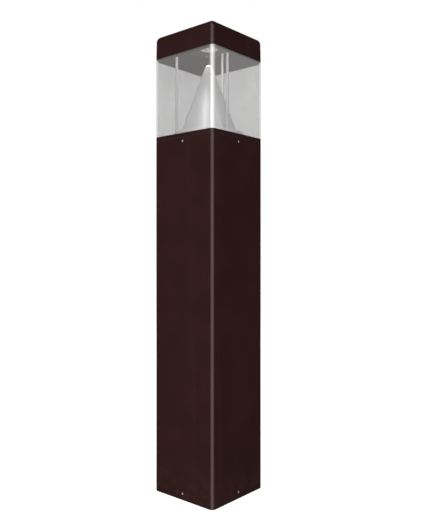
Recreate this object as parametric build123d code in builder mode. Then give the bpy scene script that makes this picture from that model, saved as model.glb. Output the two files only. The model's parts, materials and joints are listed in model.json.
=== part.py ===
"""Square bollard light: shaft on a round mounting ring, with a lift-off LED lantern head.

Millimetres, +Z up. The origin is the centre of the foot, on the ground.
"""
from build123d import *
import os
from math import cos, radians, sin

# ---------------------------------------------------------------- driving dimensions
WIDTH = 180.5            # across the flats of shaft, lens and cap
HEIGHT = 1066.8          # 42 inch overall
CORNER_R = 9.0           # upright corners
SHAFT_TOP = 820.3
SEAM = 1.5               # dark joint between the shaft and the head
RIM = 7.6                # height of the head base's visible rim
GASKET = 1.0             # under the lens
LENS_TOP = 1012.2
CAP_GASKET = 2.0         # between lens and cap
WALL = 3.5               # shaft wall
STRIP = 3.0              # extra thickness of the shaft's screw strips
STRIP_W = 16.0
FIT = 0.3                # clearance between pieces that move on each other
LENS_WALL = 4.0
ROD_R = 3.175            # quarter inch tie rods
ROD_PCR = 76.2           # radius of the circle the tie rods stand on
ROD_ANGLES = (225, 345)
TUBE_ANGLE = 105         # the hollow tie rod that carries the leads
SCREW_Z_LOW = 14.3
SCREW_Z_HIGH = 811.9
APEX_Z = 1003.6
CEILING_Z = 1053.5       # underside of the heat spreader
M3_R = 1.5               # light source screws
M4_R = 2.0               # cap, reflector and tray screws
THROUGH = 3.0            # a cutter is this many times as long as its hole is deep

# ---------------------------------------------------------------- worked out from them
HALF = WIDTH / 2
BORE_HALF = HALF - WALL
STRIP_HALF = BORE_HALF - STRIP
RIM_Z = SHAFT_TOP + SEAM
DECK_Z = RIM_Z + RIM
LENS_Z = DECK_Z + GASKET
CAP_Z = LENS_TOP + CAP_GASKET
LENS_BORE = HALF - LENS_WALL

os.makedirs("parts", exist_ok=True)


def save(builder, name):
    """Label a finished piece and write its STEP file."""
    builder.part.label = name
    export_step(builder.part, f"parts/{name}.step")


def polar(radius, angle):
    """A point on a circle about the bollard's axis."""
    return (radius * cos(radians(angle)), radius * sin(radians(angle)))


def facing(distance, angle):
    """An upright plane that faces outwards at a distance from the axis."""
    across = (*polar(1, angle + 90), 0)
    return Plane(origin=(*polar(distance, angle), 0), x_dir=across, z_dir=(*polar(1, angle), 0))


def square(half, corner, mode=Mode.ADD):
    """Sketch of a centred square with round corners."""
    return RectangleRounded(2 * half, 2 * half, corner, mode=mode)


# ================================================================ base
RING_R = STRIP_HALF - FIT
PLATE_T = 8.0
COLLAR_T = 7.0
COLLAR_H = 30.0
CONDUIT_R = 32.0
ANCHOR_PCR = 50.8
ANCHOR_R = 7.0
RIB_T = 6.0
RIB_START = 42.0         # radius at which a rib rises from the plate
RIB_H = 16.0
RIB_LAP = 1.0            # how far a rib sinks into the plate and the collar
COLLAR_BEVEL = 1.0
GROUND_ANGLE = 22.0
GROUND_PCR = 62.0        # radius at which the earth screw stands
GROUND_R = 2.5
GROUND_FLANGE = (6.0, 1.2)   # radius and thickness
GROUND_HEX = (4.0, 4.0)      # half across flats, and height

with BuildPart() as mounting_ring:
    with BuildSketch(Plane.XY):
        Circle(RING_R)
    extrude(amount=PLATE_T)
    with BuildSketch(Plane.XY.offset(PLATE_T)):
        Circle(RING_R)
        Circle(RING_R - COLLAR_T, mode=Mode.SUBTRACT)
    extrude(amount=COLLAR_H - PLATE_T)
    chamfer(mounting_ring.edges().group_by(Axis.Z)[-1], COLLAR_BEVEL)
    for angle in (0, 90, 180, 270):
        with BuildSketch(facing(0, angle)):
            with BuildLine():
                Polyline((RING_R - COLLAR_T + RIB_LAP, PLATE_T - RIB_LAP), (RIB_START, PLATE_T - RIB_LAP),
                         (RING_R - COLLAR_T + RIB_LAP, PLATE_T + RIB_H), close=True)
            make_face()
        extrude(amount=RIB_T / 2, both=True)
    with Locations((0, 0, 0)):
        Cylinder(CONDUIT_R, THROUGH * PLATE_T, mode=Mode.SUBTRACT)
    with PolarLocations(ANCHOR_PCR, 4, start_angle=45):
        Cylinder(ANCHOR_R, THROUGH * PLATE_T, mode=Mode.SUBTRACT)
    with Locations(polar(GROUND_PCR, GROUND_ANGLE)):
        Cylinder(GROUND_R, THROUGH * PLATE_T, mode=Mode.SUBTRACT)
save(mounting_ring, "mounting_ring")

with BuildPart() as ground_screw:
    for low, radius, length in ((PLATE_T / 8, GROUND_R, PLATE_T * 7 / 8), (PLATE_T, *GROUND_FLANGE)):
        with BuildSketch(Plane.XY.offset(low)):
            with Locations(polar(GROUND_PCR, GROUND_ANGLE)):
                Circle(radius)
        extrude(amount=length)
    with BuildSketch(Plane.XY.offset(PLATE_T + GROUND_FLANGE[1])):
        with Locations(polar(GROUND_PCR, GROUND_ANGLE)):
            RegularPolygon(GROUND_HEX[0], 6, major_radius=False)
    extrude(amount=GROUND_HEX[1])
save(ground_screw, "ground_screw")

# ================================================================ shaft
SET_R = 2.5
SET_RECESS = 0.8
HEX_KEY = 2.5
STRIP_LAP = 1.0          # how far a strip sinks into the wall

with BuildPart() as shaft:
    with BuildSketch(Plane.XY):
        square(HALF, CORNER_R)
        square(BORE_HALF, CORNER_R - WALL, mode=Mode.SUBTRACT)
        with PolarLocations((STRIP_HALF + BORE_HALF + STRIP_LAP) / 2, 4):
            Rectangle(STRIP + STRIP_LAP, STRIP_W)
    extrude(amount=SHAFT_TOP)
    for height in (SCREW_Z_LOW, SCREW_Z_HIGH):
        with Locations((0, 0, height)):
            Cylinder(SET_R, 2 * WIDTH, rotation=(90, 0, 0), mode=Mode.SUBTRACT)
            Cylinder(SET_R, 2 * WIDTH, rotation=(0, 90, 0), mode=Mode.SUBTRACT)
save(shaft, "shaft")


def set_screws(height):
    """Four flush hexagon-socket screws, one in the middle of each face."""
    with BuildPart() as screws:
        for angle in (0, 90, 180, 270):
            with BuildSketch(facing(STRIP_HALF, angle)):
                with Locations((0, height)):
                    Circle(SET_R)
            extrude(amount=HALF - SET_RECESS - STRIP_HALF)
            with BuildSketch(facing(HALF - SET_RECESS, angle)):
                with Locations((0, height)):
                    RegularPolygon(HEX_KEY / 2, 6, major_radius=False)
            extrude(amount=-HEX_KEY, mode=Mode.SUBTRACT)
    return screws


save(set_screws(SCREW_Z_LOW), "base_set_screws")
save(set_screws(SCREW_Z_HIGH), "head_set_screws")

# ================================================================ head base
SPIGOT_HALF = STRIP_HALF - FIT
SPIGOT_WALL = 3.5
SPIGOT_Z = 798.0
DECK_T = 4.0
LENS_GAP = 0.4           # the lens drops over the curb with this much room
CURB_HALF = LENS_BORE - LENS_GAP
CURB_T = 2.0
CURB_H = 2.2
REFLECTOR_SCREW_R = 74.0
REFLECTOR_ANGLES = (45, 165, 285)
STUD_R = 4.5             # posts that the reflector is screwed down on
STUD_HOLE = 8.0
FLANGE_Z = 840.8         # top of the reflector's flange
SHEET = 1.0              # reflector sheet
ROD_HOLE = ROD_R + FIT

BRACKET_X = 24.0         # bracket screws, either side of the middle
BRACKET_FOOT = 18.0
BRACKET_T = 2.0
BRACKET_HALF = 35.0

with BuildPart() as head_base:
    with BuildSketch(Plane.XY.offset(RIM_Z)):
        square(HALF, CORNER_R)
    extrude(amount=RIM)
    with BuildSketch(Plane.XY.offset(SPIGOT_Z)):
        square(SPIGOT_HALF, CORNER_R - WALL)
    extrude(amount=RIM_Z - SPIGOT_Z)
    with BuildSketch(Plane.XY.offset(SPIGOT_Z)):
        square(SPIGOT_HALF - SPIGOT_WALL, CORNER_R - WALL)
    extrude(amount=DECK_Z - DECK_T - SPIGOT_Z, mode=Mode.SUBTRACT)
    with BuildSketch(Plane.XY.offset(DECK_Z)):
        square(CURB_HALF, CORNER_R - LENS_WALL)
        square(CURB_HALF - CURB_T, CORNER_R - LENS_WALL - CURB_T, mode=Mode.SUBTRACT)
    extrude(amount=CURB_H)
    with BuildSketch(Plane.XY.offset(DECK_Z)):
        for angle in REFLECTOR_ANGLES:
            with Locations(polar(REFLECTOR_SCREW_R, angle)):
                Circle(STUD_R)
    extrude(amount=FLANGE_Z - SHEET - DECK_Z)
    for angle in REFLECTOR_ANGLES:
        with Locations((*polar(REFLECTOR_SCREW_R, angle), FLANGE_Z - SHEET)):
            Cylinder(M4_R, 2 * STUD_HOLE, mode=Mode.SUBTRACT)
    for angle in (*ROD_ANGLES, TUBE_ANGLE):
        with Locations((*polar(ROD_PCR, angle), DECK_Z)):
            Cylinder(ROD_HOLE, THROUGH * DECK_T, mode=Mode.SUBTRACT)
    with Locations((-BRACKET_X, BRACKET_FOOT / 2, DECK_Z), (BRACKET_X, BRACKET_FOOT / 2, DECK_Z)):
        Cylinder(M4_R, THROUGH * DECK_T, mode=Mode.SUBTRACT)
save(head_base, "head_base")


def square_gasket(low, high, outer, inner, inner_corner):
    """A flat square frame of rubber."""
    with BuildPart() as gasket:
        with BuildSketch(Plane.XY.offset(low)):
            square(outer, CORNER_R - (HALF - outer))
            square(inner, inner_corner, mode=Mode.SUBTRACT)
        extrude(amount=high - low)
    return gasket


RECESS = 1.3             # how far the gaskets stay back from the faces
BARELY = 0.1             # the least gap between two pieces that don't touch
GASKET_BORE = CURB_HALF + BARELY
head_seal = square_gasket(SHAFT_TOP + BARELY, RIM_Z, HALF - RECESS, SPIGOT_HALF, CORNER_R - WALL)
save(head_seal, "head_seal")
save(square_gasket(DECK_Z, LENS_Z, HALF - RECESS, GASKET_BORE, CORNER_R - LENS_WALL), "lens_gasket")
save(square_gasket(LENS_TOP, CAP_Z, HALF - RECESS, GASKET_BORE, CORNER_R - LENS_WALL), "cap_gasket")

# ================================================================ lens
with BuildPart() as lens:
    with BuildSketch(Plane.XY.offset(LENS_Z)):
        square(HALF, CORNER_R)
        square(LENS_BORE, CORNER_R - LENS_WALL, mode=Mode.SUBTRACT)
    extrude(amount=LENS_TOP - LENS_Z)
save(lens, "lens")

# ================================================================ cap
CAP_TOP_T = 4.0
CAP_FILLET = 12.0
CAP_DRAFT = 1.2          # degrees
LIP_Z = 1007.8           # the cap's locating lip hangs inside the lens
LIP_T = 2.4
CAP_BORE_R = 3.6         # corners of the cap's hollow
PLATE_HALF = 81.0
PLATE_CORNER = 4.0
SPREADER_T = 4.0
BOSS_XY = 62.0           # four bosses that carry the heat spreader
BOSS_R = 6.0
BOSS_HOLE = 6.5
CAP_ROOF = HEIGHT - CAP_TOP_T

with BuildPart() as cap:
    with BuildSketch(Plane.XY.offset(CAP_Z)):
        square(HALF, CORNER_R)
    extrude(amount=HEIGHT - CAP_Z, taper=CAP_DRAFT)
    fillet(cap.faces().sort_by(Axis.Z)[-1].edges(), CAP_FILLET)
    with BuildSketch(Plane.XY.offset(LIP_Z)):
        square(CURB_HALF, CORNER_R - LENS_WALL)
    extrude(amount=CAP_Z - LIP_Z)
    with BuildSketch(Plane.XY.offset(LIP_Z)):
        square(CURB_HALF - LIP_T, CAP_BORE_R)
    extrude(amount=CAP_ROOF - LIP_Z, mode=Mode.SUBTRACT)
    with BuildSketch(Plane.XY.offset(CEILING_Z + SPREADER_T)):
        with GridLocations(2 * BOSS_XY, 2 * BOSS_XY, 2, 2):
            Circle(BOSS_R)
    extrude(amount=CAP_ROOF - CEILING_Z - SPREADER_T)
    with BuildSketch(Plane.XY.offset(CEILING_Z + SPREADER_T)):
        with GridLocations(2 * BOSS_XY, 2 * BOSS_XY, 2, 2):
            Circle(M4_R)
    extrude(amount=BOSS_HOLE, mode=Mode.SUBTRACT)
save(cap, "cap")

# ================================================================ light source
LEAD_HOLE_R = 10.0       # radius at which the leads come down through the spreader
LEAD_HOLE = 2.2
BEZEL_R = 21.0
BEZEL_BORE = 17.2
BEZEL_Z = 1041.6
BEZEL_FLANGE_R = 28.0
BEZEL_FLANGE_T = 2.5
BEZEL_FILLET = 1.6
BOARD_R = 16.0
BOARD_T = 1.6
PAD_T = 0.5
EMITTER_R = 7.0
EMITTER_T = 0.9
LED_SCREW_R = 24.5
PAD_Z = CEILING_Z - PAD_T
BOARD_Z = PAD_Z - BOARD_T

with BuildPart() as ceiling_plate:
    with BuildSketch(Plane.XY.offset(CEILING_Z)):
        square(PLATE_HALF, PLATE_CORNER)
        with GridLocations(2 * BOSS_XY, 2 * BOSS_XY, 2, 2):
            Circle(M4_R, mode=Mode.SUBTRACT)
        for angle in (*ROD_ANGLES, TUBE_ANGLE):
            with Locations(polar(ROD_PCR, angle)):
                Circle(ROD_R, mode=Mode.SUBTRACT)
        with Locations(polar(LEAD_HOLE_R, TUBE_ANGLE)):
            Circle(LEAD_HOLE, mode=Mode.SUBTRACT)
        with PolarLocations(LED_SCREW_R, 4, start_angle=45):
            Circle(M3_R, mode=Mode.SUBTRACT)
    extrude(amount=SPREADER_T)
save(ceiling_plate, "ceiling_plate")


M4_HEAD = (3.7, 2.3)     # radius and height
M3_HEAD = (2.7, 1.8)
HEAD_TAPER = 12.0
SLOT = (1.3, 0.28)       # length and width of the cross, in head radii
SLOT_DEPTH = 0.6         # in head heights


def pan_screws(spots, seat, head_r, head_h, shank_r, length, way=1):
    """Pan-head screws with a cross slot: the head stands `way` from the seat, the shank the other way."""
    with BuildPart() as screws:
        for spot in spots:
            with BuildSketch(Plane.XY.offset(seat)):
                with Locations(spot):
                    Circle(head_r)
            extrude(amount=way * head_h, taper=HEAD_TAPER)
            with BuildSketch(Plane.XY.offset(seat)):
                with Locations(spot):
                    Circle(shank_r)
            extrude(amount=-way * length)
            with BuildSketch(Plane.XY.offset(seat + way * head_h)):
                with Locations(spot):
                    Rectangle(SLOT[0] * head_r, SLOT[1] * head_r)
                    Rectangle(SLOT[1] * head_r, SLOT[0] * head_r)
            extrude(amount=-way * SLOT_DEPTH * head_h, mode=Mode.SUBTRACT)
    return screws


corners = [(x, y) for x in (-BOSS_XY, BOSS_XY) for y in (-BOSS_XY, BOSS_XY)]
save(pan_screws(corners, CEILING_Z, *M4_HEAD, M4_R, SPREADER_T + 5, way=-1), "ceiling_screws")

with BuildPart() as thermal_pad:
    with BuildSketch(Plane.XY.offset(PAD_Z)):
        Circle(BOARD_R)
        with Locations(polar(LEAD_HOLE_R, TUBE_ANGLE)):
            Circle(LEAD_HOLE, mode=Mode.SUBTRACT)
    extrude(amount=PAD_T)
save(thermal_pad, "thermal_pad")

with BuildPart() as led_board:
    with BuildSketch(Plane.XY.offset(BOARD_Z)):
        Circle(BOARD_R)
    extrude(amount=BOARD_T)
save(led_board, "led_board")

with BuildPart() as led_emitter:
    with BuildSketch(Plane.XY.offset(BOARD_Z - EMITTER_T)):
        Circle(EMITTER_R)
    extrude(amount=EMITTER_T)
    chamfer(led_emitter.edges().group_by(Axis.Z)[0], EMITTER_T / 3)
save(led_emitter, "led_emitter")

with BuildPart() as led_bezel:
    with BuildSketch(Plane.XY.offset(BEZEL_Z)):
        Circle(BEZEL_R)
    extrude(amount=CEILING_Z - BEZEL_Z)
    with BuildSketch(Plane.XY.offset(CEILING_Z - BEZEL_FLANGE_T)):
        Circle(BEZEL_FLANGE_R)
    extrude(amount=BEZEL_FLANGE_T)
    fillet(led_bezel.edges().group_by(Axis.Z)[0], BEZEL_FILLET)
    with BuildSketch(Plane.XY.offset(BEZEL_Z)):
        Circle(BEZEL_BORE)
    extrude(amount=CEILING_Z - BEZEL_Z, mode=Mode.SUBTRACT)
    with PolarLocations(LED_SCREW_R, 4, start_angle=45):
        with Locations((0, 0, CEILING_Z)):
            Cylinder(M3_R, THROUGH * BEZEL_FLANGE_T, mode=Mode.SUBTRACT)
save(led_bezel, "led_bezel")

# A shallow clear lens in the bezel's mouth, domed on its upper side
OPTIC_LOW = BEZEL_Z + 1.4
OPTIC_EDGE = 1.6
OPTIC_DOME = 3.4
OPTIC_RIM = (BEZEL_BORE, OPTIC_LOW + OPTIC_EDGE)
OPTIC_CROWN = (0, OPTIC_LOW + OPTIC_EDGE + OPTIC_DOME)
DOME_R = (BEZEL_BORE ** 2 + OPTIC_DOME ** 2) / (2 * OPTIC_DOME)
with BuildPart() as led_optic:
    with BuildSketch(Plane.XZ):
        with BuildLine():
            Polyline(OPTIC_CROWN, (0, OPTIC_LOW), (BEZEL_BORE, OPTIC_LOW), OPTIC_RIM)
            RadiusArc(OPTIC_RIM, OPTIC_CROWN, -DOME_R)
        make_face()
    revolve(axis=Axis.Z)
save(led_optic, "led_optic")

led_spots = [polar(LED_SCREW_R, angle) for angle in (45, 135, 225, 315)]
led_seat = CEILING_Z - BEZEL_FLANGE_T
led_screws = pan_screws(led_spots, led_seat, *M3_HEAD, M3_R, BEZEL_FLANGE_T + 3, way=-1)
save(led_screws, "led_screws")

# ================================================================ tie rods
ROD_LOW = 814.4
ROD_HIGH = CEILING_Z + SPREADER_T
TUBE_BORE = 2.2
WASHER_T = 1.2
WASHER_R = 5.6
NUT_T = 5.0
NUT_HALF = 5.0           # half across flats
ROD_BEVEL = 0.6
DECK_UNDER = DECK_Z - DECK_T

for number, angle in enumerate(ROD_ANGLES, start=1):
    with BuildPart() as tie_rod:
        with BuildSketch(Plane.XY.offset(ROD_LOW)):
            with Locations(polar(ROD_PCR, angle)):
                Circle(ROD_R)
        extrude(amount=ROD_HIGH - ROD_LOW)
        chamfer(tie_rod.edges().group_by(Axis.Z)[0], ROD_BEVEL)
    save(tie_rod, f"tie_rod_{number}")

with BuildPart() as wire_tube:
    with BuildSketch(Plane.XY.offset(ROD_LOW)):
        with Locations(polar(ROD_PCR, TUBE_ANGLE)):
            Circle(ROD_R)
            Circle(TUBE_BORE, mode=Mode.SUBTRACT)
    extrude(amount=ROD_HIGH - ROD_LOW)
save(wire_tube, "wire_tube")

rod_spots = [polar(ROD_PCR, angle) for angle in (*ROD_ANGLES, TUBE_ANGLE)]
# The washers are small enough to stay clear of the head base's own wall
with BuildPart() as rod_washers:
    with BuildSketch(Plane.XY.offset(DECK_UNDER - WASHER_T)):
        for spot in rod_spots:
            with Locations(spot):
                Circle(WASHER_R)
                Circle(ROD_R, mode=Mode.SUBTRACT)
    extrude(amount=WASHER_T)
save(rod_washers, "rod_washers")

with BuildPart() as rod_nuts:
    with BuildSketch(Plane.XY.offset(DECK_UNDER - WASHER_T - NUT_T)):
        for spot in rod_spots:
            with Locations(spot):
                RegularPolygon(NUT_HALF, 6, major_radius=False)
                Circle(ROD_R, mode=Mode.SUBTRACT)
    extrude(amount=NUT_T)
save(rod_nuts, "rod_nuts")

# ================================================================ reflector
CONE_POINT_Z = 1022.6    # where the straight cone would come to a point
CONE_ANGLE = 20.3        # half angle, degrees
FLANGE_R = 82.0
FLANGE_FILLET = 0.8
ROUND = sin(radians(CONE_ANGLE))
TIP_R = (CONE_POINT_Z - APEX_Z) * ROUND / (1 - ROUND)
TIP_Z = APEX_Z - TIP_R


def cone_radius(height):
    """Radius of the cone's outer face at a height."""
    return (CONE_POINT_Z - height) * sin(radians(CONE_ANGLE)) / cos(radians(CONE_ANGLE))


def tip(radius, angle):
    """A point of the rounded tip, at an angle above the horizontal."""
    return (radius * cos(radians(angle)), TIP_Z + radius * sin(radians(angle)))


middle = (90 + CONE_ANGLE) / 2
inside = TIP_R - SHEET
under = FLANGE_Z - SHEET
under_r = cone_radius(under) - SHEET / cos(radians(CONE_ANGLE))
with BuildPart() as reflector:
    with BuildSketch(Plane.XZ):
        with BuildLine():
            ThreePointArc(tip(TIP_R, 90), tip(TIP_R, middle), tip(TIP_R, CONE_ANGLE))
            Polyline(tip(TIP_R, CONE_ANGLE), (cone_radius(FLANGE_Z), FLANGE_Z),
                     (FLANGE_R, FLANGE_Z), (FLANGE_R, DECK_Z), (FLANGE_R - SHEET, DECK_Z),
                     (FLANGE_R - SHEET, under), (under_r, under), tip(inside, CONE_ANGLE))
            ThreePointArc(tip(inside, CONE_ANGLE), tip(inside, middle), tip(inside, 90))
            Line(tip(inside, 90), tip(TIP_R, 90))
        make_face()
    revolve(axis=Axis.Z)
    rings = reflector.edges().filter_by(GeomType.CIRCLE)
    outer_rim = rings.sort_by(Axis.Z).group_by(SortBy.RADIUS)[-1][-1]
    fillet(outer_rim, FLANGE_FILLET)
    for angle in REFLECTOR_ANGLES:
        with Locations((*polar(REFLECTOR_SCREW_R, angle), FLANGE_Z)):
            Cylinder(M4_R, 2 * THROUGH * SHEET, mode=Mode.SUBTRACT)
    for angle in (*ROD_ANGLES, TUBE_ANGLE):
        with Locations((*polar(ROD_PCR, angle), FLANGE_Z)):
            Cylinder(ROD_HOLE, 2 * THROUGH * SHEET, mode=Mode.SUBTRACT)
save(reflector, "reflector")

reflector_spots = [polar(REFLECTOR_SCREW_R, angle) for angle in REFLECTOR_ANGLES]
save(pan_screws(reflector_spots, FLANGE_Z, *M4_HEAD, M4_R, STUD_HOLE), "reflector_screws")

# ================================================================ driver tray, hanging from the deck
BRACKET_LOW = 590.0
BRACKET_BEND = 3.0
PASS_Z = 606.0           # where the mains leads pass through the tray
PASS_R = 7.0
GROMMET_LIP = 1.6
GROMMET_BORE = 5.0
DRIVER = (54.0, 32.0, 110.0)
DRIVER_LOW = 654.0
DRIVER_EAR = 10.0
EAR_T = 2.0
SURGE = (36.0, 22.0, 50.0)
SURGE_LOW = 690.0
BLOCK = (42.0, 16.0, 18.0)
BLOCK_LOW = 624.0
DRIVER_WAIST = 42.0      # width across the ears
DRIVER_EDGE = 2.0
DRIVER_SCREW_R = 1.75
DRIVER_HEAD = (3.2, 2.0)
DRIVER_TAIL = 1.0        # how far a driver screw sticks out behind the tray
EAR_X = 15.0
ear_spots = [(x, height) for x in (-EAR_X, EAR_X)
             for height in (DRIVER_LOW - DRIVER_EAR / 2, DRIVER_LOW + DRIVER[2] + DRIVER_EAR / 2)]

with BuildPart() as driver_bracket:
    with BuildSketch(Plane.YZ):
        with BuildLine():
            FilletPolyline((-BRACKET_T / 2, BRACKET_LOW), (-BRACKET_T / 2, DECK_UNDER - BRACKET_T / 2),
                           (BRACKET_FOOT, DECK_UNDER - BRACKET_T / 2), radius=BRACKET_BEND)
            offset(amount=BRACKET_T / 2, kind=Kind.TANGENT)
        make_face()
    extrude(amount=BRACKET_HALF, both=True)
    with Locations((-BRACKET_X, BRACKET_FOOT / 2, DECK_UNDER), (BRACKET_X, BRACKET_FOOT / 2, DECK_UNDER)):
        Cylinder(M4_R, 2 * THROUGH * BRACKET_T, mode=Mode.SUBTRACT)
    with Locations((0, 0, PASS_Z)):
        Cylinder(PASS_R, 2 * THROUGH * BRACKET_T, rotation=(90, 0, 0), mode=Mode.SUBTRACT)
    with Locations([(x, 0, height) for x, height in ear_spots]):
        Cylinder(DRIVER_SCREW_R, 2 * THROUGH * BRACKET_T, rotation=(90, 0, 0), mode=Mode.SUBTRACT)
save(driver_bracket, "driver_bracket")

bracket_spots = [(-BRACKET_X, BRACKET_FOOT / 2), (BRACKET_X, BRACKET_FOOT / 2)]
bracket_seat = DECK_UNDER - BRACKET_T
save(pan_screws(bracket_spots, bracket_seat, *M4_HEAD, M4_R, BRACKET_T + DECK_T - 0.5, way=-1),
     "bracket_screws")

with BuildPart() as lead_grommet:
    with BuildSketch(Plane.XZ.offset(-GROMMET_LIP)):
        with Locations((0, PASS_Z)):
            Circle(PASS_R + GROMMET_LIP)
            Circle(GROMMET_BORE, mode=Mode.SUBTRACT)
    extrude(amount=2 * GROMMET_LIP + BRACKET_T)
    with BuildSketch(Plane.XZ):
        with Locations((0, PASS_Z)):
            Circle(PASS_R + 2 * GROMMET_LIP)
            Circle(PASS_R, mode=Mode.SUBTRACT)
    extrude(amount=BRACKET_T, mode=Mode.SUBTRACT)
save(lead_grommet, "lead_grommet")


def boxed(size, low, side, corner):
    """A box with round upright edges standing on one face of the tray: side is +1 or -1 in Y."""
    width, depth, height = size
    start = 0 if side > 0 else -BRACKET_T
    with BuildPart() as box:
        with BuildSketch(Plane.XY.offset(low)):
            with Locations((0, start + side * depth / 2)):
                RectangleRounded(width, depth, corner)
        extrude(amount=height)
    return box


with BuildPart() as led_driver:
    with BuildSketch(Plane.XZ):
        with Locations((0, DRIVER_LOW + DRIVER[2] / 2)):
            Rectangle(DRIVER[0], DRIVER[2])
    extrude(amount=-DRIVER[1])
    fillet(led_driver.faces().sort_by(Axis.Y)[-1].edges(), DRIVER_EDGE)
    with BuildSketch(Plane.XZ):
        with Locations((0, DRIVER_LOW + DRIVER[2] / 2)):
            Rectangle(DRIVER_WAIST, DRIVER[2] + 2 * DRIVER_EAR)
    extrude(amount=-EAR_T)
    with Locations([(x, 0, height) for x, height in ear_spots]):
        Cylinder(DRIVER_SCREW_R, 2 * THROUGH * EAR_T, rotation=(90, 0, 0), mode=Mode.SUBTRACT)
save(led_driver, "led_driver")

with BuildPart() as driver_screws:
    with BuildSketch(Plane.XZ.offset(-EAR_T)):
        with Locations(ear_spots):
            Circle(DRIVER_HEAD[0])
    extrude(amount=-DRIVER_HEAD[1], taper=HEAD_TAPER)
    with BuildSketch(Plane.XZ.offset(-EAR_T)):
        with Locations(ear_spots):
            Circle(DRIVER_SCREW_R)
    extrude(amount=EAR_T + BRACKET_T + DRIVER_TAIL)
save(driver_screws, "driver_screws")

surge_protector = boxed(SURGE, SURGE_LOW, -1, 3.0)
save(surge_protector, "surge_protector")
terminal_block = boxed(BLOCK, BLOCK_LOW, -1, 1.0)
save(terminal_block, "terminal_block")

# ================================================================ leads
LEAD_R = 0.75


def lead(routes):
    """Insulated leads: each is straight runs joined by tangent arcs."""
    with BuildPart() as cables:
        for points, radii in routes:
            with BuildLine() as route:
                if radii:
                    FilletPolyline(*points, radius=radii)
                else:
                    Line(*points)
            with BuildSketch(Plane(origin=route.line @ 0, z_dir=route.line % 0)):
                Circle(LEAD_R)
            sweep(path=route.line)
    return cables


LEAD_GAP = 0.95          # from the middle of the hollow rod to each lead
LEAD_ROOF_Z = (CEILING_Z + SPREADER_T + CAP_ROOF) / 2
LEAD_Y = 18.0            # where the leads leave the driver
OUTPUT_X = 5.0           # output leads, either side of the middle


def led_route(side):
    """From the driver's top, up the hollow tie rod, across the spreader and down to the board."""
    across = polar(side * LEAD_GAP, TUBE_ANGLE + 90)
    in_tube = Vector(*polar(ROD_PCR, TUBE_ANGLE)) + Vector(*across)
    in_hole = Vector(*polar(LEAD_HOLE_R, TUBE_ANGLE)) + Vector(*across)
    start = -OUTPUT_X * side
    driver_top = DRIVER_LOW + DRIVER[2]
    points = [(start, LEAD_Y, driver_top), (start, LEAD_Y, driver_top + 22),
              (in_tube.X, in_tube.Y, driver_top + 34), (in_tube.X, in_tube.Y, LEAD_ROOF_Z),
              (in_hole.X, in_hole.Y, LEAD_ROOF_Z), (in_hole.X, in_hole.Y, PAD_Z)]
    return points, [12, 19, 2.4, 2.4]


save(lead([led_route(1)]), "led_lead_plus")
save(lead([led_route(-1)]), "led_lead_minus")

block_y = -BRACKET_T - BLOCK[1] / 2
PAIR_X = 2.5             # the driver's two input leads stand this far from the middle
SURGE_X = 8.0
driver_ends = ((LEAD_Y, DRIVER_LOW), (LEAD_Y, PASS_Z), (block_y, PASS_Z), (block_y, BLOCK_LOW))
driver_routes = [([(x, y, z) for y, z in driver_ends], [12, 8]) for x in (-PAIR_X, PAIR_X)]
save(lead(driver_routes), "driver_leads")

surge_ends = ((block_y, SURGE_LOW), (block_y, BLOCK_LOW + BLOCK[2]))
surge_routes = [([(x, y, z) for y, z in surge_ends], None) for x in (-SURGE_X, SURGE_X)]
save(lead(surge_routes), "surge_leads")
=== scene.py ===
# %% [markdown]
# # A square bollard light
#
# The bollard stands about a metre high: a coated square shaft, a clear square lens with a spun
# cone inside it, and a flat cap with the light source hidden in its roof. The frame brings every
# hard part at its true size and place, so this lesson is about finishes: how powder coat, acrylic,
# spun aluminium and small plated hardware get their look from nodes. The shapes too fine for the
# frame, such as threads, slotted screws, solder and lead boots, are worked out with numpy.

# %% Load the frame
import json
import math

import bpy
import numpy as np
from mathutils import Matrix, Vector


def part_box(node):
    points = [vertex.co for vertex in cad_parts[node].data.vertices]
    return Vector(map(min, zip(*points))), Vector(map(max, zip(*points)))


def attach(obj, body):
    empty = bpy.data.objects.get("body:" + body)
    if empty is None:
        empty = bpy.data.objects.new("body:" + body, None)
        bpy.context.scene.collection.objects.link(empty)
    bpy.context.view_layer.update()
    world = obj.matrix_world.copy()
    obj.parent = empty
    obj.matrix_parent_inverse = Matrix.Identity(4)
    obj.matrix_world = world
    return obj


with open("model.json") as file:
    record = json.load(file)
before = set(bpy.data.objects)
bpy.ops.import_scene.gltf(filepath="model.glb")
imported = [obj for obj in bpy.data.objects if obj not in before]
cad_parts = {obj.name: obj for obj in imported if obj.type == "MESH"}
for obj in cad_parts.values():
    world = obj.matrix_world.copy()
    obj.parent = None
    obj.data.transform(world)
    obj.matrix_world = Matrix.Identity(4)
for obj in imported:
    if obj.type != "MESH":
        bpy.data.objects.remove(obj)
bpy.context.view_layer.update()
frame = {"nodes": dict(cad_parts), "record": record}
MM = 0.001
NODES = frame["nodes"]

# %% [markdown]
# ## The camera
#
# The bollard is seen with one upright corner near the middle and the camera held level, half-way
# up it, so all its upright edges stay parallel. A level camera is aimed by its place and its turn
# alone, and a small vertical shift frames the height.

# %% Camera
AZIMUTH = math.radians(41.0)
DISTANCE = 1.4542        # from the axis, along the line of sight
SIDEWAYS = 0.0087        # how far the camera stands to the right of the axis
EYE_Z = 0.5532
LENS_MM = 42.135
SENSOR_MM = 36.0
SHIFT_Y = -0.01273       # a share of the picture's longer side

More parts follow.
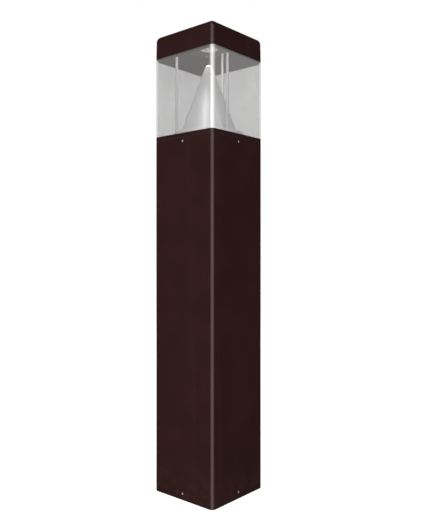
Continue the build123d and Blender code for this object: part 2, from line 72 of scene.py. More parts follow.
sight = Vector((-math.sin(AZIMUTH), math.cos(AZIMUTH), 0))
right = Vector((math.cos(AZIMUTH), math.sin(AZIMUTH), 0))
camera_data = bpy.data.cameras.new("camera")
camera = bpy.data.objects.new("camera", camera_data)
bpy.context.scene.collection.objects.link(camera)
camera.location = -sight * DISTANCE + right * SIDEWAYS + Vector((0, 0, EYE_Z))
camera.rotation_euler = (math.pi / 2, 0, AZIMUTH)
camera_data.sensor_width = SENSOR_MM
camera_data.lens = LENS_MM
camera_data.shift_y = SHIFT_Y
camera_data.clip_start = 0.05
bpy.context.scene.camera = camera
print("camera: lens", LENS_MM, "mm, eye at", EYE_Z, "m")

# %% [markdown]
# ## Sums on sockets
#
# Node trees are hard to read as lists of links. Here a socket is wrapped in a class that knows
# Python's operators, so a sum such as 1 - mask adds its own Math node, and every other kind of
# node comes from one method.

# %% Shader maths


class Socket:
    """A shader socket that can be used in Python sums; each sum adds a Math node."""

    def __init__(self, tree, link):
        self.tree = tree
        self.link = link

    def math(self, operation, *others):
        """A Math node on this socket and other sockets or numbers."""
        return self.tree.node("ShaderNodeMath", {"operation": operation}, self, *others)

    def __add__(self, other):
        return self.math("ADD", other)

    def __radd__(self, other):
        return self.math("ADD", other)

    def __mul__(self, other):
        return self.math("MULTIPLY", other)

    def __rmul__(self, other):
        return self.math("MULTIPLY", other)

    def __sub__(self, other):
        return self.math("SUBTRACT", other)

    def __rsub__(self, other):
        return self.tree.node("ShaderNodeMath", {"operation": "SUBTRACT"}, other, self)

    def __abs__(self):
        return self.math("ABSOLUTE")

    def clamp(self):
        """Held between 0 and 1."""
        return self.tree.node("ShaderNodeClamp", {}, self)

    def step(self, low, high):
        """0 below low, 1 above high, smooth between them."""
        settings = {"interpolation_type": "SMOOTHSTEP"}
        return self.tree.node("ShaderNodeMapRange", settings, self, low, high, 0.0, 1.0)


class Tree:
    """A node tree with one method for any node."""

    def __init__(self, owner):
        owner.use_nodes = True
        self.tree = owner.node_tree
        self.tree.nodes.clear()

    def node(self, kind, settings, *values, out=0, **named):
        """Adds a node: settings first, then its sockets by order or by name. None leaves one alone."""
        added = self.tree.nodes.new(kind)
        for key, value in settings.items():
            setattr(added, key, value)
        for place, value in enumerate(values):
            self.plug(added.inputs[place], value)
        for key, value in named.items():
            self.plug(added.inputs[key.replace("_", " ")], value)
        return Socket(self, added.outputs[out]) if added.outputs else None

    def plug(self, socket, value):
        """Links a socket to another, or sets its value."""
        if isinstance(value, Socket):
            self.tree.links.new(value.link, socket)
        elif value is not None:
            socket.default_value = value

    def mix(self, factor, first, second):
        """Blends two colours, which a Mix node takes after five sockets for other kinds of data."""
        colours = [value if isinstance(value, Socket) else (*value, 1.0) for value in (first, second)]
        return self.node("ShaderNodeMix", {"data_type": "RGBA"}, factor, *[None] * 5, *colours, out=2)

    def place(self):
        """Object coordinates, in metres."""
        return self.node("ShaderNodeTexCoord", {}, out="Object")

    def along(self, where, axis):
        """One coordinate, by the name of its axis."""
        return self.node("ShaderNodeSeparateXYZ", {}, where, out=axis)

    def noise(self, where, scale, detail=3.0):
        """Soft random values between about 0.3 and 0.7."""
        return self.node("ShaderNodeTexNoise", {}, Vector=where, Scale=scale, Detail=detail,
                         Roughness=0.55)

    def stretched(self, where, scale):
        """Coordinates scaled by a different number along each axis."""
        return self.node("ShaderNodeMapping", {}, Vector=where, Scale=scale)

    def bump(self, height, strength, distance):
        """A surface direction tilted as if the height were really there."""
        return self.node("ShaderNodeBump", {}, Height=height, Strength=strength, Distance=distance)


print("sums on sockets: ready")

# %% [markdown]
# ## World
#
# A product like this is shown on white. The world is white where the camera looks straight at
# it, dimmer for light that falls on the bollard, and nearly black where a shiny face mirrors it,
# so the dark coat keeps its depth. A Light Path node tells the three kinds of ray apart.

# %% A white world
BACKDROP = 1.0           # what the camera sees
AMBIENT = 0.42           # what falls on the bollard from all round
MIRRORED = 0.03          # what its shiny faces mirror
WHITE = (1, 1, 1, 1)
world = bpy.data.worlds.new("studio")
bpy.context.scene.world = world
bpy.context.scene.view_settings.view_transform = "Standard"
sky = Tree(world)
straight = sky.node("ShaderNodeLightPath", {}, out="Is Camera Ray")
glossy = sky.node("ShaderNodeLightPath", {}, out="Is Glossy Ray")
ambient = sky.node("ShaderNodeBackground", {}, WHITE, glossy * (MIRRORED - AMBIENT) + AMBIENT)
backdrop = sky.node("ShaderNodeBackground", {}, WHITE, BACKDROP)
sky.node("ShaderNodeOutputWorld", {}, sky.node("ShaderNodeMixShader", {}, straight, ambient, backdrop))
print("world:", BACKDROP, "seen,", AMBIENT, "falling on the bollard,", MIRRORED, "mirrored")

# %% [markdown]
# ## Lamps
#
# Every lamp but one is a soft panel that stands some way round the bollard and faces it. The broad
# key lamp stands behind the camera. It lights the two near faces, and its mirror image is the thin
# highlight down the round near corner. Tall lamps to the left and right even out the two faces,
# and the fill and rear lamps keep the other sides from going black. None of these four is
# mirrored, or the flat faces would turn grey. The top lamp draws the highlight down the cone. The
# one small lamp sits in the light source's place, faces down, and falls on the cone's tip.

# %% Soft panels
AIM_Z = 0.6              # every panel faces this height on the axis


def lamp(name, turn, height, distance, size, radiance):
    """A soft panel that faces the bollard from `turn` degrees round it, as bright as `radiance`."""
    data = bpy.data.lights.new(name, "AREA")
    data.shape = "RECTANGLE"
    data.size, data.size_y = size
    data.energy = radiance * math.pi * size[0] * size[1]
    panel = bpy.data.objects.new(name, data)
    bpy.context.scene.collection.objects.link(panel)
    angle = math.radians(turn)
    panel.location = (math.sin(angle) * distance, -math.cos(angle) * distance, height)
    aim = Vector((0, 0, AIM_Z)) - panel.location
    panel.rotation_euler = aim.to_track_quat("-Z", "Y").to_euler()
    panel.visible_camera = False
    return panel


# name, degrees round from the left face, height and distance in metres, size, radiance
key = lamp("key", 41, 0.5, 2.6, (4.0, 4.6), 2.5)
left_side = lamp("key left", -11, 0.9, 2.7, (1.0, 3.4), 2.6)
right_side = lamp("key right", 93, 0.9, 2.7, (1.0, 3.4), 1.65)
top = lamp("top", 20, 3.0, 2.0, (1.2, 1.2), 5.0)
fill = lamp("fill", -35, 1.0, 2.8, (1.6, 2.4), 1.6)
rear = lamp("rear", 225, 2.3, 2.8, (3.4, 2.4), 4.0)
source = lamp("light source", 0, 1.0405, 0.0, (0.030, 0.030), 90.0)
source.rotation_euler = (0, 0, 0)
card = lamp("card", 139, 1.5, 2.6, (2.4, 2.4), 0.32)
rod_light = lamp("rod light", 41, 1.7, 0.8, (0.5, 0.5), 25.0)
for panel in (left_side, right_side, fill, rear, source):
    panel.visible_glossy = False
print("lamps:", len(bpy.data.lights))

# %% [markdown]
# ## What each lamp reaches
#
# A clear box mirrors every lamp in all its walls at once, so the lamps above and behind leave the
# lens out, and a dim card that reaches nothing else is there for it to mirror. The tie rods
# are too thin to be lit well by panels metres away, with the cap shading their tops, so they have
# a near lamp of their own. Light linking does both: a lamp is given a collection, and lights only
# what is in it or, with EXCLUDE, all but what is in it.

# %% Light linking


def group(name, members, state="INCLUDE"):
    """A collection that a lamp is limited to, or with EXCLUDE one that it leaves out."""
    collection = bpy.data.collections.new(name)
    for member in members:
        collection.objects.link(member)
    for entry in collection.collection_objects:
        entry.light_linking.link_state = state
    return collection


lens = [NODES["lens"]]
card.light_linking.receiver_collection = group("lens", lens)
for panel in (top, rear, source):
    panel.light_linking.receiver_collection = group("all but the lens", lens, "EXCLUDE")
rods = [NODES[name] for name in ("tie_rod_1", "tie_rod_2", "wire_tube")]
rod_light.light_linking.receiver_collection = group("rods", rods)
rod_light.light_linking.blocker_collection = group("rods alone", rods)
for panel in (key, left_side, right_side):
    panel.light_linking.receiver_collection = group("all but the rods", rods, "EXCLUDE")
# The lens casts no shadow, so lamps reach the cone through it
NODES["lens"].visible_shadow = False
print("linked groups:", len(bpy.data.collections))

# %% [markdown]
# ## Floor
#
# The floor glows nearly as white as the world, which hides where one ends and the other begins,
# and its matt part takes the bollard's soft shadow. It isn't mirrored in the coat. It casts no
# shadow either, so the part of the key lamp that reaches below it still lights the foot.

# %% White floor
FLOOR = 14.0
FLOOR_Z = -0.0004        # just under the foot
floor_corners = [(x * FLOOR, y * FLOOR, FLOOR_Z) for x, y in ((-1, -1), (1, -1), (1, 1), (-1, 1))]
floor_mesh = bpy.data.meshes.new("floor")
floor_mesh.from_pydata(floor_corners, [], [(0, 1, 2, 3)])
floor = bpy.data.objects.new("floor", floor_mesh)
bpy.context.scene.collection.objects.link(floor)
floor.visible_glossy = False
floor.visible_shadow = False
floor_paint = bpy.data.materials.new("floor paint")
paint = Tree(floor_paint)
glow = paint.node("ShaderNodeEmission", {}, WHITE, 0.96)
matt = paint.node("ShaderNodeBsdfDiffuse", {}, (0.25, 0.25, 0.25, 1))
paint.node("ShaderNodeOutputMaterial", {}, paint.node("ShaderNodeAddShader", {}, glow, matt))
floor_mesh.materials.append(floor_paint)
print("floor:", 2 * FLOOR, "m across")

# %% [markdown]
# ## Finishes
#
# Every finish is one function: it makes a material, reads Object coordinates so that its grain has
# a true size in metres, and ends in one Principled shader. What varies over the surface goes to
# colour, roughness or bump; what is the same all over is set straight on the shader.

# %% One shader for every finish


def finish(name, build, **fixed):
    """A material: build(tree) returns the sockets that vary, and fixed holds the constants."""
    material = bpy.data.materials.new(name)
    tree = Tree(material)
    varied = build(tree)
    shader = tree.node("ShaderNodeBsdfPrincipled", {}, **fixed, **varied)
    tree.node("ShaderNodeOutputMaterial", {}, shader)
    return material


def wear(material, *names):
    """Gives CAD nodes their finish."""
    for name in names:
        mesh = NODES[name].data
        mesh.materials.clear()
        mesh.materials.append(material)
    print(material.name, "->", ", ".join(names))


print("finishes: ready")

# %% [markdown]
# ### Dark bronze powder coat
#
# Powder coat is a baked plastic skin. It flows almost flat and keeps a fine orange peel about a
# millimetre across, with a much finer sparkle on it. Its colour hardly changes; the gloss does, a
# little. Rain leaves faint upright streaks, and splash dulls the lowest hand's width. The plate in
# the roof wears the same coat with painted light: its paler tone stands in for the light that the
# cone throws into that hollow.

# %% Powder coat
BRONZE = (0.0110, 0.0034, 0.0033)
BRONZE_WARM = (0.0138, 0.0044, 0.0041)
# Painted light: the roof plate's paler tones stand in for the light that the cone throws up into it
ROOF_PAINTED_LIGHT = (0.082, 0.045, 0.042)
ROOF_PAINTED_LIGHT_WARM = (0.096, 0.053, 0.050)
DUST = (0.034, 0.022, 0.019)
COAT_TINT = (1.0, 0.80, 0.78, 1.0)   # what the coat mirrors is slightly warm
SPLASH_TOP = 0.10        # metres above the ground


def powder_coat(tone, warm):
    """Orange peel: noise at 700 and 2600 waves a metre; streaks: noise squeezed 30 to 1 upright."""
    def build(tree):
        where = tree.place()
        peel = tree.noise(where, 700.0, 2.0)
        sparkle = tree.noise(where, 2600.0, 1.0)
        mottle = tree.noise(where, 14.0, 4.0)
        streak = tree.noise(tree.stretched(where, (60.0, 60.0, 2.0)), 1.0).step(0.52, 0.78)
        above_splash = tree.along(where, "Z").step(0.0, SPLASH_TOP)
        splash = (1 - above_splash) * tree.noise(where, 45.0, 5.0).step(0.42, 0.75)
        base = tree.mix(mottle.step(0.3, 0.7), tone, warm)
        colour = tree.mix((splash * 0.16 + streak * 0.04).clamp(), base, DUST)
        rough = 0.26 + sparkle * 0.10 + streak * 0.05 + splash * 0.2
        relief = peel * 0.7 + sparkle * 0.3
        return {"Base_Color": colour, "Roughness": rough, "Normal": tree.bump(relief, 0.16, 0.0004)}
    return build


SHEEN = {"Specular_IOR_Level": 0.42, "Specular_Tint": COAT_TINT}
coat = finish("bronze powder coat", powder_coat(BRONZE, BRONZE_WARM), **SHEEN)
# Painted light: the roof plate wears the same coat in paler tones, for the light from the cone
roof_painted_light = finish("sheltered powder coat", powder_coat(ROOF_PAINTED_LIGHT, ROOF_PAINTED_LIGHT_WARM), **SHEEN)
wear(coat, "shaft", "head_base", "cap")
wear(roof_painted_light, "ceiling_plate")

# %% [markdown]
# ### Clear acrylic
#
# The lens is a square acrylic tube. It isn't perfectly clear: each wall veils what is behind it
# with a faint grey, and its corners, where the eye looks along the wall, are denser. A plain alpha
# does this, since each ray passes every wall on its way. The corners' grey is also paler, a painted
# highlight that brightens the near round corner. Alpha thins the gloss as well as the colour, so
# the index of refraction is set well above acrylic's own 1.49 to bring it back.

# %% Acrylic
LENS_ALPHA = 0.272       # each face of a wall
CORNER_VEIL = 0.22       # more at the corners
CORNER_START = 0.0785    # from the axis, where a corner begins to grow denser
CORNER_END = 0.0850


def acrylic(tree):
    """Faint upright drawing lines, and specks of dust that dull the gloss."""
    where = tree.place()
    lines = tree.noise(tree.stretched(where, (420.0, 420.0, 3.0)), 1.0, 2.0)
    dust = tree.noise(where, 900.0).step(0.66, 0.74)
    across, deep = abs(tree.along(where, "X")), abs(tree.along(where, "Y"))
    corner = across.math("MINIMUM", deep).step(CORNER_START, CORNER_END)
    # At the corners the grey is paler and the alpha higher: partly acrylic's denser look along the wall,
    # partly a painted highlight down the near round corner
    grey = tree.mix((corner * 0.6 + dust * 0.3).clamp(), (0.245, 0.241, 0.238), (0.52, 0.51, 0.50))
    rough = 0.13 + corner * 0.42 + lines * 0.03 + dust * 0.10
    return {"Base_Color": grey, "Roughness": rough, "Alpha": corner * CORNER_VEIL + LENS_ALPHA,
            "Normal": tree.bump(lines, 0.015, 0.0002)}


clear = finish("clear acrylic", acrylic, IOR=2.6, Specular_IOR_Level=1.0)
wear(clear, "lens")

# %% [markdown]
# ### Spun aluminium
#
# The cone is a disc of aluminium pressed over a turning former by a roller. The roller leaves
# rings, all square to the axis, so the marks are a function of height alone with a little
# unevenness; the satin anodising spreads the highlight.

# %% Spun aluminium


def spun(tree):
    """Rings: noise read along z, with a very little of x and y, at two spacings."""
    where = tree.place()
    fine = tree.noise(tree.stretched(where, (3.0, 3.0, 900.0)), 1.0)
    band = tree.noise(tree.stretched(where, (1.5, 1.5, 140.0)), 1.0, 2.0)
    tone = tree.mix(band, (0.66, 0.66, 0.665), (0.76, 0.76, 0.765))
    return {"Base_Color": tone, "Roughness": 0.30 + fine * 0.16,
            "Normal": tree.bump(fine, 0.08, 0.0002)}


cone_finish = finish("spun aluminium", spun, Metallic=0.6)
wear(cone_finish, "reflector")

# %% [markdown]
# ### Bright hardware
#
# Rods, screws, nuts and washers are stainless steel. Rods keep the fine lines of drawing, so their
# noise is stretched along the rod. Heads keep small turning marks, and their noise isn't stretched.

# %% Drawn and turned steel


def steel(stretch, dark, light):
    """Marks: noise with its own scale along each axis."""
    def build(tree):
        where = tree.place()
        marks = tree.noise(tree.stretched(where, stretch), 1.0)
        tone = tree.mix(marks.step(0.3, 0.7), dark, light)
        return {"Base_Color": tone, "Roughness": 0.20 + marks * 0.22,
                "Normal": tree.bump(marks, 0.10, 0.0001)}
    return build


drawn = finish("drawn stainless", steel((2200, 2200, 12), (0.40, 0.40, 0.40), (0.50, 0.50, 0.51)),
               Metallic=0.4)
turned = finish("turned stainless", steel((1600, 1600, 1600), (0.48, 0.48, 0.49), (0.66, 0.66, 0.67)),
                Metallic=0.6)
wear(drawn, "tie_rod_1", "tie_rod_2", "wire_tube")
wear(turned, "base_set_screws", "head_set_screws", "ceiling_screws", "led_screws", "rod_washers",
     "rod_nuts", "reflector_screws", "bracket_screws", "driver_screws")

# %% [markdown]
# ### Castings, sheet, rubber and plastics
#
# What is left are small parts that show when the head is lifted off. Each still has its own
# surface: sand-cast grain, zinc spangle, moulded grain, and the sheen of wire insulation.

# %% The other finishes


def grainy(first, second, scale, roughness, swing, relief):
    """Two tones by a noise, with roughness and bump from the same grain."""
    def build(tree):
        where = tree.place()
        grain = tree.noise(where, scale, 4.0)
        broad = tree.noise(where, scale / 12)
        tone = tree.mix((grain * 0.6 + broad * 0.6 - 0.1).clamp(), first, second)
        return {"Base_Color": tone, "Roughness": roughness + grain * swing,
                "Normal": tree.bump(grain, relief, 0.0004)}
    return build


def spangle(tree):
    """Zinc crystals: cells of a Voronoi pattern 4 mm across, each with its own tone."""
    where = tree.place()
    cells = tree.node("ShaderNodeTexVoronoi", {}, Vector=where, Scale=240.0, out=1)
    tint = tree.node("ShaderNodeRGBToBW", {}, cells)
    tone = tree.mix(tint, (0.42, 0.44, 0.46), (0.66, 0.68, 0.70))
    return {"Base_Color": tone, "Roughness": 0.28 + tint * 0.22}


# name, first tone, second tone, grains a metre, roughness, its swing, relief, metal, nodes
GRAINY = (
    ("sand cast aluminium", (0.34, 0.34, 0.34), (0.56, 0.56, 0.57), 900, 0.42, 0.25, 0.5, 0.85,
     ["mounting_ring"]),
    ("green zinc", (0.02, 0.16, 0.04), (0.05, 0.30, 0.09), 1400, 0.25, 0.2, 0.2, 0.5, ["ground_screw"]),
    ("black rubber", (0.006, 0.006, 0.006), (0.016, 0.016, 0.016), 1500, 0.55, 0.3, 0.4, 0.0,
     ["head_seal", "lens_gasket", "cap_gasket", "lead_grommet"]),
    ("white moulding", (0.56, 0.56, 0.55), (0.66, 0.66, 0.65), 1100, 0.30, 0.2, 0.15, 0.0,
     ["led_bezel"]),
    ("driver case", (0.62, 0.62, 0.60), (0.74, 0.74, 0.72), 1500, 0.38, 0.25, 0.3, 0.0,
     ["led_driver"]),
    ("potted case", (0.018, 0.018, 0.020), (0.035, 0.035, 0.038), 1500, 0.32, 0.3, 0.3, 0.0,
     ["surge_protector"]),
    ("orange nylon", (0.55, 0.17, 0.02), (0.66, 0.24, 0.04), 1300, 0.36, 0.25, 0.25, 0.0,
     ["terminal_block"]),
    ("thermal pad", (0.22, 0.25, 0.28), (0.30, 0.33, 0.36), 1700, 0.6, 0.2, 0.3, 0.0, ["thermal_pad"]),
    ("white board", (0.78, 0.78, 0.76), (0.86, 0.86, 0.84), 2000, 0.25, 0.2, 0.1, 0.0, ["led_board"]),
    ("phosphor", (0.80, 0.50, 0.06), (0.90, 0.62, 0.12), 2600, 0.3, 0.2, 0.2, 0.0, ["led_emitter"]),
    ("red insulation", (0.42, 0.01, 0.01), (0.55, 0.03, 0.02), 1800, 0.3, 0.2, 0.1, 0.0,
     ["led_lead_plus"]),
    ("black insulation", (0.010, 0.010, 0.010), (0.022, 0.022, 0.022), 1800, 0.3, 0.2, 0.1, 0.0,
     ["led_lead_minus", "surge_leads"]),
    ("white insulation", (0.66, 0.66, 0.64), (0.76, 0.76, 0.74), 1800, 0.3, 0.2, 0.1, 0.0,
     ["driver_leads"]),
    ("tin solder", (0.55, 0.56, 0.58), (0.72, 0.73, 0.75), 2200, 0.18, 0.2, 0.15, 0.9, []),
)
made = {}
for name, first, second, scale, roughness, swing, relief, metal, nodes in GRAINY:
    made[name] = finish(name, grainy(first, second, scale, roughness, swing, relief), Metallic=metal)
    wear(made[name], *nodes)
made["zinc sheet"] = finish("zinc sheet", spangle, Metallic=1.0)
wear(made["zinc sheet"], "driver_bracket")
optic = grainy((0.80, 0.81, 0.82), (0.88, 0.89, 0.90), 500, 0.04, 0.06, 0.05)
wear(finish("optic", optic, Alpha=0.45), "led_optic")

# %% [markdown]
# ## Shapes too fine for the frame
#
# Each small shape is a grid of points: one direction runs round a closed outline, and the other
# along a profile. A modelling tool would spin or extrude them; here one formula gives every point
# at once, which keeps threads and slots exact. A grid that closes both ways is a ring. Any other
# has its two ends closed by a fan of triangles to the middle of the last ring.

# %% Grids of points made into pieces
TURN = 2 * math.pi
SUNK = 0.3 * MM          # how deep a shape's foot is sunk in the face that it stands on
# Two axes in the face that a shape stands on: its height runs along their cross product
STANDS = {"up": ((1, 0, 0), (0, 1, 0)), "down": ((1, 0, 0), (0, -1, 0)),
          "front": ((1, 0, 0), (0, 0, 1)), "back": ((-1, 0, 0), (0, 0, 1))}


def closed(points, ring=False):
    """Corner points and faces of a grid that closes round its columns, and round its rows if a ring."""
    rows, columns = points.shape[:2]
    here = np.arange(rows * columns).reshape(rows, columns)
    beside = np.roll(here, -1, axis=1)
    above, above_beside = np.roll(here, -1, axis=0), np.roll(beside, -1, axis=0)
    last = rows if ring else rows - 1
    quads = np.stack([here, beside, above_beside, above], axis=-1)[:last].reshape(-1, 4).tolist()
    corners = points.reshape(-1, 3)
    if ring:
        return corners, quads
    middles = np.stack([points[0].mean(axis=0), points[-1].mean(axis=0)])
    bottom = np.stack([np.full(columns, here.size), beside[0], here[0]], axis=-1)
    top = np.stack([np.full(columns, here.size + 1), here[-1], beside[-1]], axis=-1)
    return np.concatenate([corners, middles]), quads + bottom.tolist() + top.tolist()


def piece(name, grids, body, material, ring=False):
    """One named mesh from one or more grids, which rides on a body and wears a finish."""
    corners, faces = [], []
    for points in grids:
        grid_corners, grid_faces = closed(points, ring)
        start = sum(len(part) for part in corners)
        faces += [[start + corner for corner in face] for face in grid_faces]
        corners.append(grid_corners)
    mesh = bpy.data.meshes.new(name)
    mesh.from_pydata(np.concatenate(corners).tolist(), [], faces)
    mesh.polygons.foreach_set("use_smooth", np.ones(len(mesh.polygons), dtype=bool))
    mesh.set_sharp_from_angle(angle=math.radians(40))
    mesh.materials.append(material)
    shape = bpy.data.objects.new(name, mesh)
    bpy.context.scene.collection.objects.link(shape)
    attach(shape, body)
    print(name, len(mesh.polygons), "faces")


def stand(centre, way, across, up, height):
    """Points at centre + across * first axis + up * second axis + height * their cross product."""
    first, second = (np.array(axis, dtype=float) for axis in STANDS[way])
    normal = np.cross(first, second)
    return (np.array(centre) + across[..., None] * first + up[..., None] * second
            + height[..., None] * normal)


def turned_on(centre, way, radii, heights, columns=64):
    """A turned shape: (radius cos t, radius sin t, height) for each step of its profile."""
    turns = np.linspace(0, TURN, columns, endpoint=False)
    radii, heights = np.asarray(radii)[:, None], np.asarray(heights)[:, None]
    return stand(centre, way, radii * np.cos(turns), radii * np.sin(turns), heights + 0 * turns)


def middle(node):
    """The middle of a node's box, as an array."""
    low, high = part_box(node)
    return np.array((low + high) / 2)


print("grids: ready")

# %% [markdown]
# ### Rod threads
#
# The tie rods end in threads that stick out below their nuts, and show when the head is off. A
# thread is a cylinder whose radius rises and falls in step with height less turn: a helix.

# %% Threads on the tie rods
PITCH = 1.27 * MM
THREAD = 0.3 * MM        # height of the crests
SKIN = 0.03 * MM         # keeps a new face clear of the face under it
CHAMFER = 0.6 * MM


def thread(node):
    """r = rod + crest * (1 - |2 p - 1|), where p is the fraction of (z / pitch - turn / full turn)."""
    low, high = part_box(node)
    rod = (high.x - low.x) / 2
    z = np.linspace(low.z + CHAMFER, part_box("rod_nuts")[0].z, 60)[:, None]
    turns = np.linspace(0, TURN, 48, endpoint=False)
    part = (z / PITCH - turns / TURN) % 1
    start = np.clip((z - z[0]) / PITCH, 0, 1)
    radius = rod + SKIN + THREAD * start * (1 - np.abs(2 * part - 1))
    foot = (*middle(node)[:2], 0)
    return stand(foot, "up", radius * np.cos(turns), radius * np.sin(turns), z + 0 * turns)


threads = [thread(node) for node in ("tie_rod_1", "tie_rod_2", "wire_tube")]
piece("rod_threads", threads, "head", turned)

# %% [markdown]
# ### The reflector's bend and the light source's rings
#
# A roller can't spin a sharp inside corner: the sheet turns from cone to flange through a small
# bend. The light source has a rolled bead on its bezel, which catches a bright arc, and on its
# board a silicone dam round the phosphor and two domes of solder. All are rings or domes.

# %% Rings on a profile


def ring_of(profile, centre, columns=128):
    """A closed profile of (radius, height) carried once round the upright axis through a centre."""
    turns = np.linspace(0, TURN, columns, endpoint=False)
    radii, heights = profile[:, :1], profile[:, 1:]
    return stand(centre, "up", radii * np.cos(turns), radii * np.sin(turns), heights + 0 * turns)


def round_profile(radius, height, half_width, half_height, power=2.0, points=24):
    """A loop round (radius, height): |x / w| to a power + |y / h| to a power = 1."""
    turns = np.linspace(0, TURN, points, endpoint=False)
    loop = np.stack([np.cos(turns), np.sin(turns)], axis=-1)
    loop = np.sign(loop) * np.abs(loop) ** (2 / power)
    return np.array([radius, height]) + loop * np.array([half_width, half_height])


CONE_POINT = 1022.6 * MM     # where the straight cone would come to a point
CONE_ANGLE = math.radians(20.3)
FLANGE = 840.8 * MM
BEND = 3.0 * MM
bend_r = (BEND + (CONE_POINT - FLANGE - BEND) * math.sin(CONE_ANGLE)) / math.cos(CONE_ANGLE)
sweep = np.linspace(1.5 * math.pi, math.pi + CONE_ANGLE, 14)
arc = np.stack([bend_r + BEND * np.cos(sweep), FLANGE + BEND + BEND * np.sin(sweep)], axis=-1)
inner_r = arc[-1, 0] - SUNK
buried = [[inner_r, arc[-1, 1]], [inner_r, FLANGE - SUNK], [arc[0, 0], FLANGE - SUNK]]
bend = ring_of(np.concatenate([arc, buried]), (0, 0, 0))
piece("reflector_bend", [bend], "head", cone_finish, ring=True)

BEAD_R = 19.1 * MM
bezel_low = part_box("led_bezel")[0].z
bead = ring_of(round_profile(BEAD_R, bezel_low, 1.3 * MM, 1.1 * MM), (0, 0, 0))
piece("bezel_bead", [bead], "head", made["white moulding"], ring=True)

board_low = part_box("led_board")[0].z
emitter_low, emitter_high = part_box("led_emitter")
dam_r = (emitter_high.x - emitter_low.x) / 2 + 0.6 * MM
dam = ring_of(round_profile(dam_r, board_low - 0.2 * MM, 0.7 * MM, 0.8 * MM), (0, 0, 0))
piece("emitter_dam", [dam], "head", made["white board"], ring=True)


def dome(centre, way, radius, height, sunk):
    """A dome: r = R cos a and h = H sin a, on a short foot that is sunk in the face under it."""
    rise = np.linspace(0, 0.49 * math.pi, 12)
    radii = np.concatenate([[radius], radius * np.cos(rise)])
    heights = np.concatenate([[-sunk], height * np.sin(rise)])
    return turned_on(centre, way, radii, heights, 40)


SOLDER_X = 11.0 * MM
solder = [dome((x, 0, board_low), "down", 1.8 * MM, 0.8 * MM, 0.2 * MM) for x in (-SOLDER_X, SOLDER_X)]
piece("solder_domes", solder, "head", made["tin solder"])

# %% [markdown]
# ### Lids and a blank label
#
# Potted modules have a raised lid, and the driver a label, left blank here. Both are thin plates
# with round corners and a rolled edge: the outline is a superellipse, which is a square with soft
# corners, and it shrinks as it climbs over the edge.

# %% Thin plates


def plate(centre, way, half, thick, edge, power=9.0, columns=120):
    """Outline |x / a| to a power + |y / b| to a power = 1; over the edge it shrinks by e (1 - cos t)."""
    turns = np.linspace(0, TURN, columns, endpoint=False)
    x = np.sign(np.cos(turns)) * np.abs(np.cos(turns)) ** (2 / power)
    y = np.sign(np.sin(turns)) * np.abs(np.sin(turns)) ** (2 / power)
    over = np.linspace(0, 0.5 * math.pi, 7)
    inset = np.concatenate([[0], edge * (1 - np.cos(over))])[:, None]
    height = np.concatenate([[-SUNK], thick - edge + edge * np.sin(over)])[:, None]
    return stand(centre, way, (half[0] - inset) * x, (half[1] - inset) * y, height + 0 * turns)


driver_low, driver_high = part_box("led_driver")
surge_low, surge_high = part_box("surge_protector")
driver_face = (0, driver_high.y, (driver_low.z + driver_high.z) / 2)
surge_face = (0, surge_low.y, (surge_low.z + surge_high.z) / 2)
LABEL = (20 * MM, 38 * MM)       # half its width and half its height
label = plate(driver_face, "back", LABEL, 0.25 * MM, 0.15 * MM, power=14.0)
piece("driver_label", [label], "head", made["white board"])
LID = (14.5 * MM, 21 * MM)
lid = plate(surge_face, "front", LID, 0.8 * MM, 0.5 * MM)
piece("surge_lid", [lid], "head", made["potted case"])

# %% [markdown]
# ### Terminal block
#
# The block has four poles. Each has a steel clamp screw in a moulded collar, and thin
# barriers stand between the poles. The screw's slot is part of its height formula: the dome drops
# wherever the point is near the slot's middle line.

# %% Clamp screws, collars and barriers
POLE_PITCH = 10.0 * MM
poles = [(step - 1.5) * POLE_PITCH for step in range(4)]
block_low, block_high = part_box("terminal_block")
block_z = (block_low.z + block_high.z) / 2
SCREW_R = 2.6 * MM
SLOT_HALF = 0.45 * MM


def slotted(centre, way, radius, height, lean):
    """h = H (1 - 0.3 (r / R) squared), less the slot's depth where |y| is under the slot's half width."""
    columns = 96
    turns = np.linspace(0, TURN, columns, endpoint=False)
    shares = np.linspace(1.0, 0.02, 30)[:, None]
    x, y = radius * shares * np.cos(turns), radius * shares * np.sin(turns)
    off_line = np.abs(x * math.sin(lean) - y * math.cos(lean))
    slot = np.clip(1.4 - off_line / SLOT_HALF, 0, 0.4) / 0.4
    face = height * (1 - 0.3 * shares ** 2) - 0.6 * height * slot
    foot = np.full((1, columns), -SUNK)
    rim = radius * np.stack([np.cos(turns), np.sin(turns)])
    return stand(centre, way, np.concatenate([rim[:1], x]), np.concatenate([rim[1:], y]),
                 np.concatenate([foot, face]))


LEANS = (0.3, 1.2, 2.2, 0.8)     # each screw's slot stops at its own angle, in radians
screws = [slotted((x, block_low.y, block_z), "front", SCREW_R, 1.0 * MM, lean)
          for x, lean in zip(poles, LEANS)]
piece("terminal_screws", screws, "head", turned)


def collar(centre, way, radius, width, height):
    """A raised ring with a round top: its section is half an ellipse."""
    rise = np.linspace(0, math.pi, 14)
    radii = np.concatenate([[radius + width / 2], radius + width / 2 * np.cos(rise), [radius - width / 2]])
    heights = np.concatenate([[-SUNK], height * np.sin(rise), [-SUNK]])
    return turned_on(centre, way, radii, heights)


COLLAR_R = SCREW_R + 0.9 * MM
collars = [collar((x, block_low.y, block_z), "front", COLLAR_R, 1.2 * MM, 1.3 * MM) for x in poles]
piece("terminal_collars", collars, "head", made["orange nylon"], ring=True)
BARRIER = (0.6 * MM, 8.4 * MM)   # half its width and half its height
barriers = [plate((x + POLE_PITCH / 2, block_low.y, block_z), "front", BARRIER, 2.2 * MM, 0.4 * MM)
            for x in poles[:-1]]
piece("terminal_barriers", barriers, "head", made["orange nylon"])

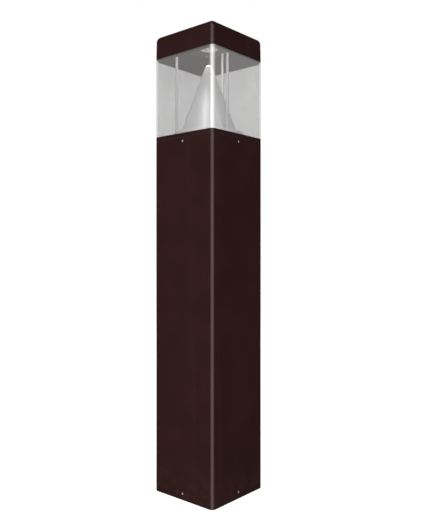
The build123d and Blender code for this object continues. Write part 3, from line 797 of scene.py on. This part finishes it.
# %% [markdown]
# ### Lead boots and cast bosses
#
# A soft ribbed boot keeps each lead from bending sharply where it leaves its module. It is a
# taper with a wave on it. In the foot, a raised pad round each anchor hole gives the bolt's
# washer a flat seat.

# %% Boots and bosses
BOOT_LENGTH = 7.0 * MM
BOOT_R = 2.1 * MM
LEAD_R = 0.75 * MM
RIBS = 5
RIB = 0.12 * MM
EAR = 10.0 * MM          # the driver's mounting ears stand out this far above and below its case
LEAD_Y = 18.0 * MM       # where the leads leave the driver
OUTPUT_X = 5.0 * MM      # leads come in pairs, this far to either side of the middle
INPUT_X = 2.5 * MM
SURGE_X = 8.0 * MM


def boot(centre, way):
    """r falls evenly from the boot's radius to just over the lead's, plus a wave of ribs that fades."""
    part = np.linspace(0, 1, 50)
    end = LEAD_R + 0.2 * MM
    radii = BOOT_R + (end - BOOT_R) * part + RIB * np.cos(part * RIBS * TURN) * (1 - part)
    heights = part * BOOT_LENGTH - SUNK
    return turned_on(centre, way, radii, heights, 32)


block_y = (block_low.y + block_high.y) / 2
boots = [boot((side * OUTPUT_X, LEAD_Y, driver_high.z - EAR), "up") for side in (-1, 1)]
boots += [boot((side * INPUT_X, LEAD_Y, driver_low.z + EAR), "down") for side in (-1, 1)]
boots += [boot((side * SURGE_X, block_y, surge_low.z), "down") for side in (-1, 1)]
piece("lead_boots", boots, "head", made["black rubber"])

anchors = frame["record"]["mounts"][0]["dims"]
ANCHOR_RING = anchors["pcd_mm"] / 2 * MM
PAD_WIDTH = 2.5 * MM
PAD_HEIGHT = 1.2 * MM
PLATE_TOP = 8.0 * MM
pad_r = anchors["hole_r_mm"] * MM + PAD_WIDTH + SKIN
pad = round_profile(pad_r, PLATE_TOP, PAD_WIDTH, PAD_HEIGHT, power=5.0)
diagonals = [math.radians(45 + 90 * step) for step in range(anchors["count"])]
pads = [ring_of(pad, (ANCHOR_RING * math.cos(turn), ANCHOR_RING * math.sin(turn), 0), 72)
        for turn in diagonals]
piece("anchor_pads", pads, "base", made["sand cast aluminium"], ring=True)
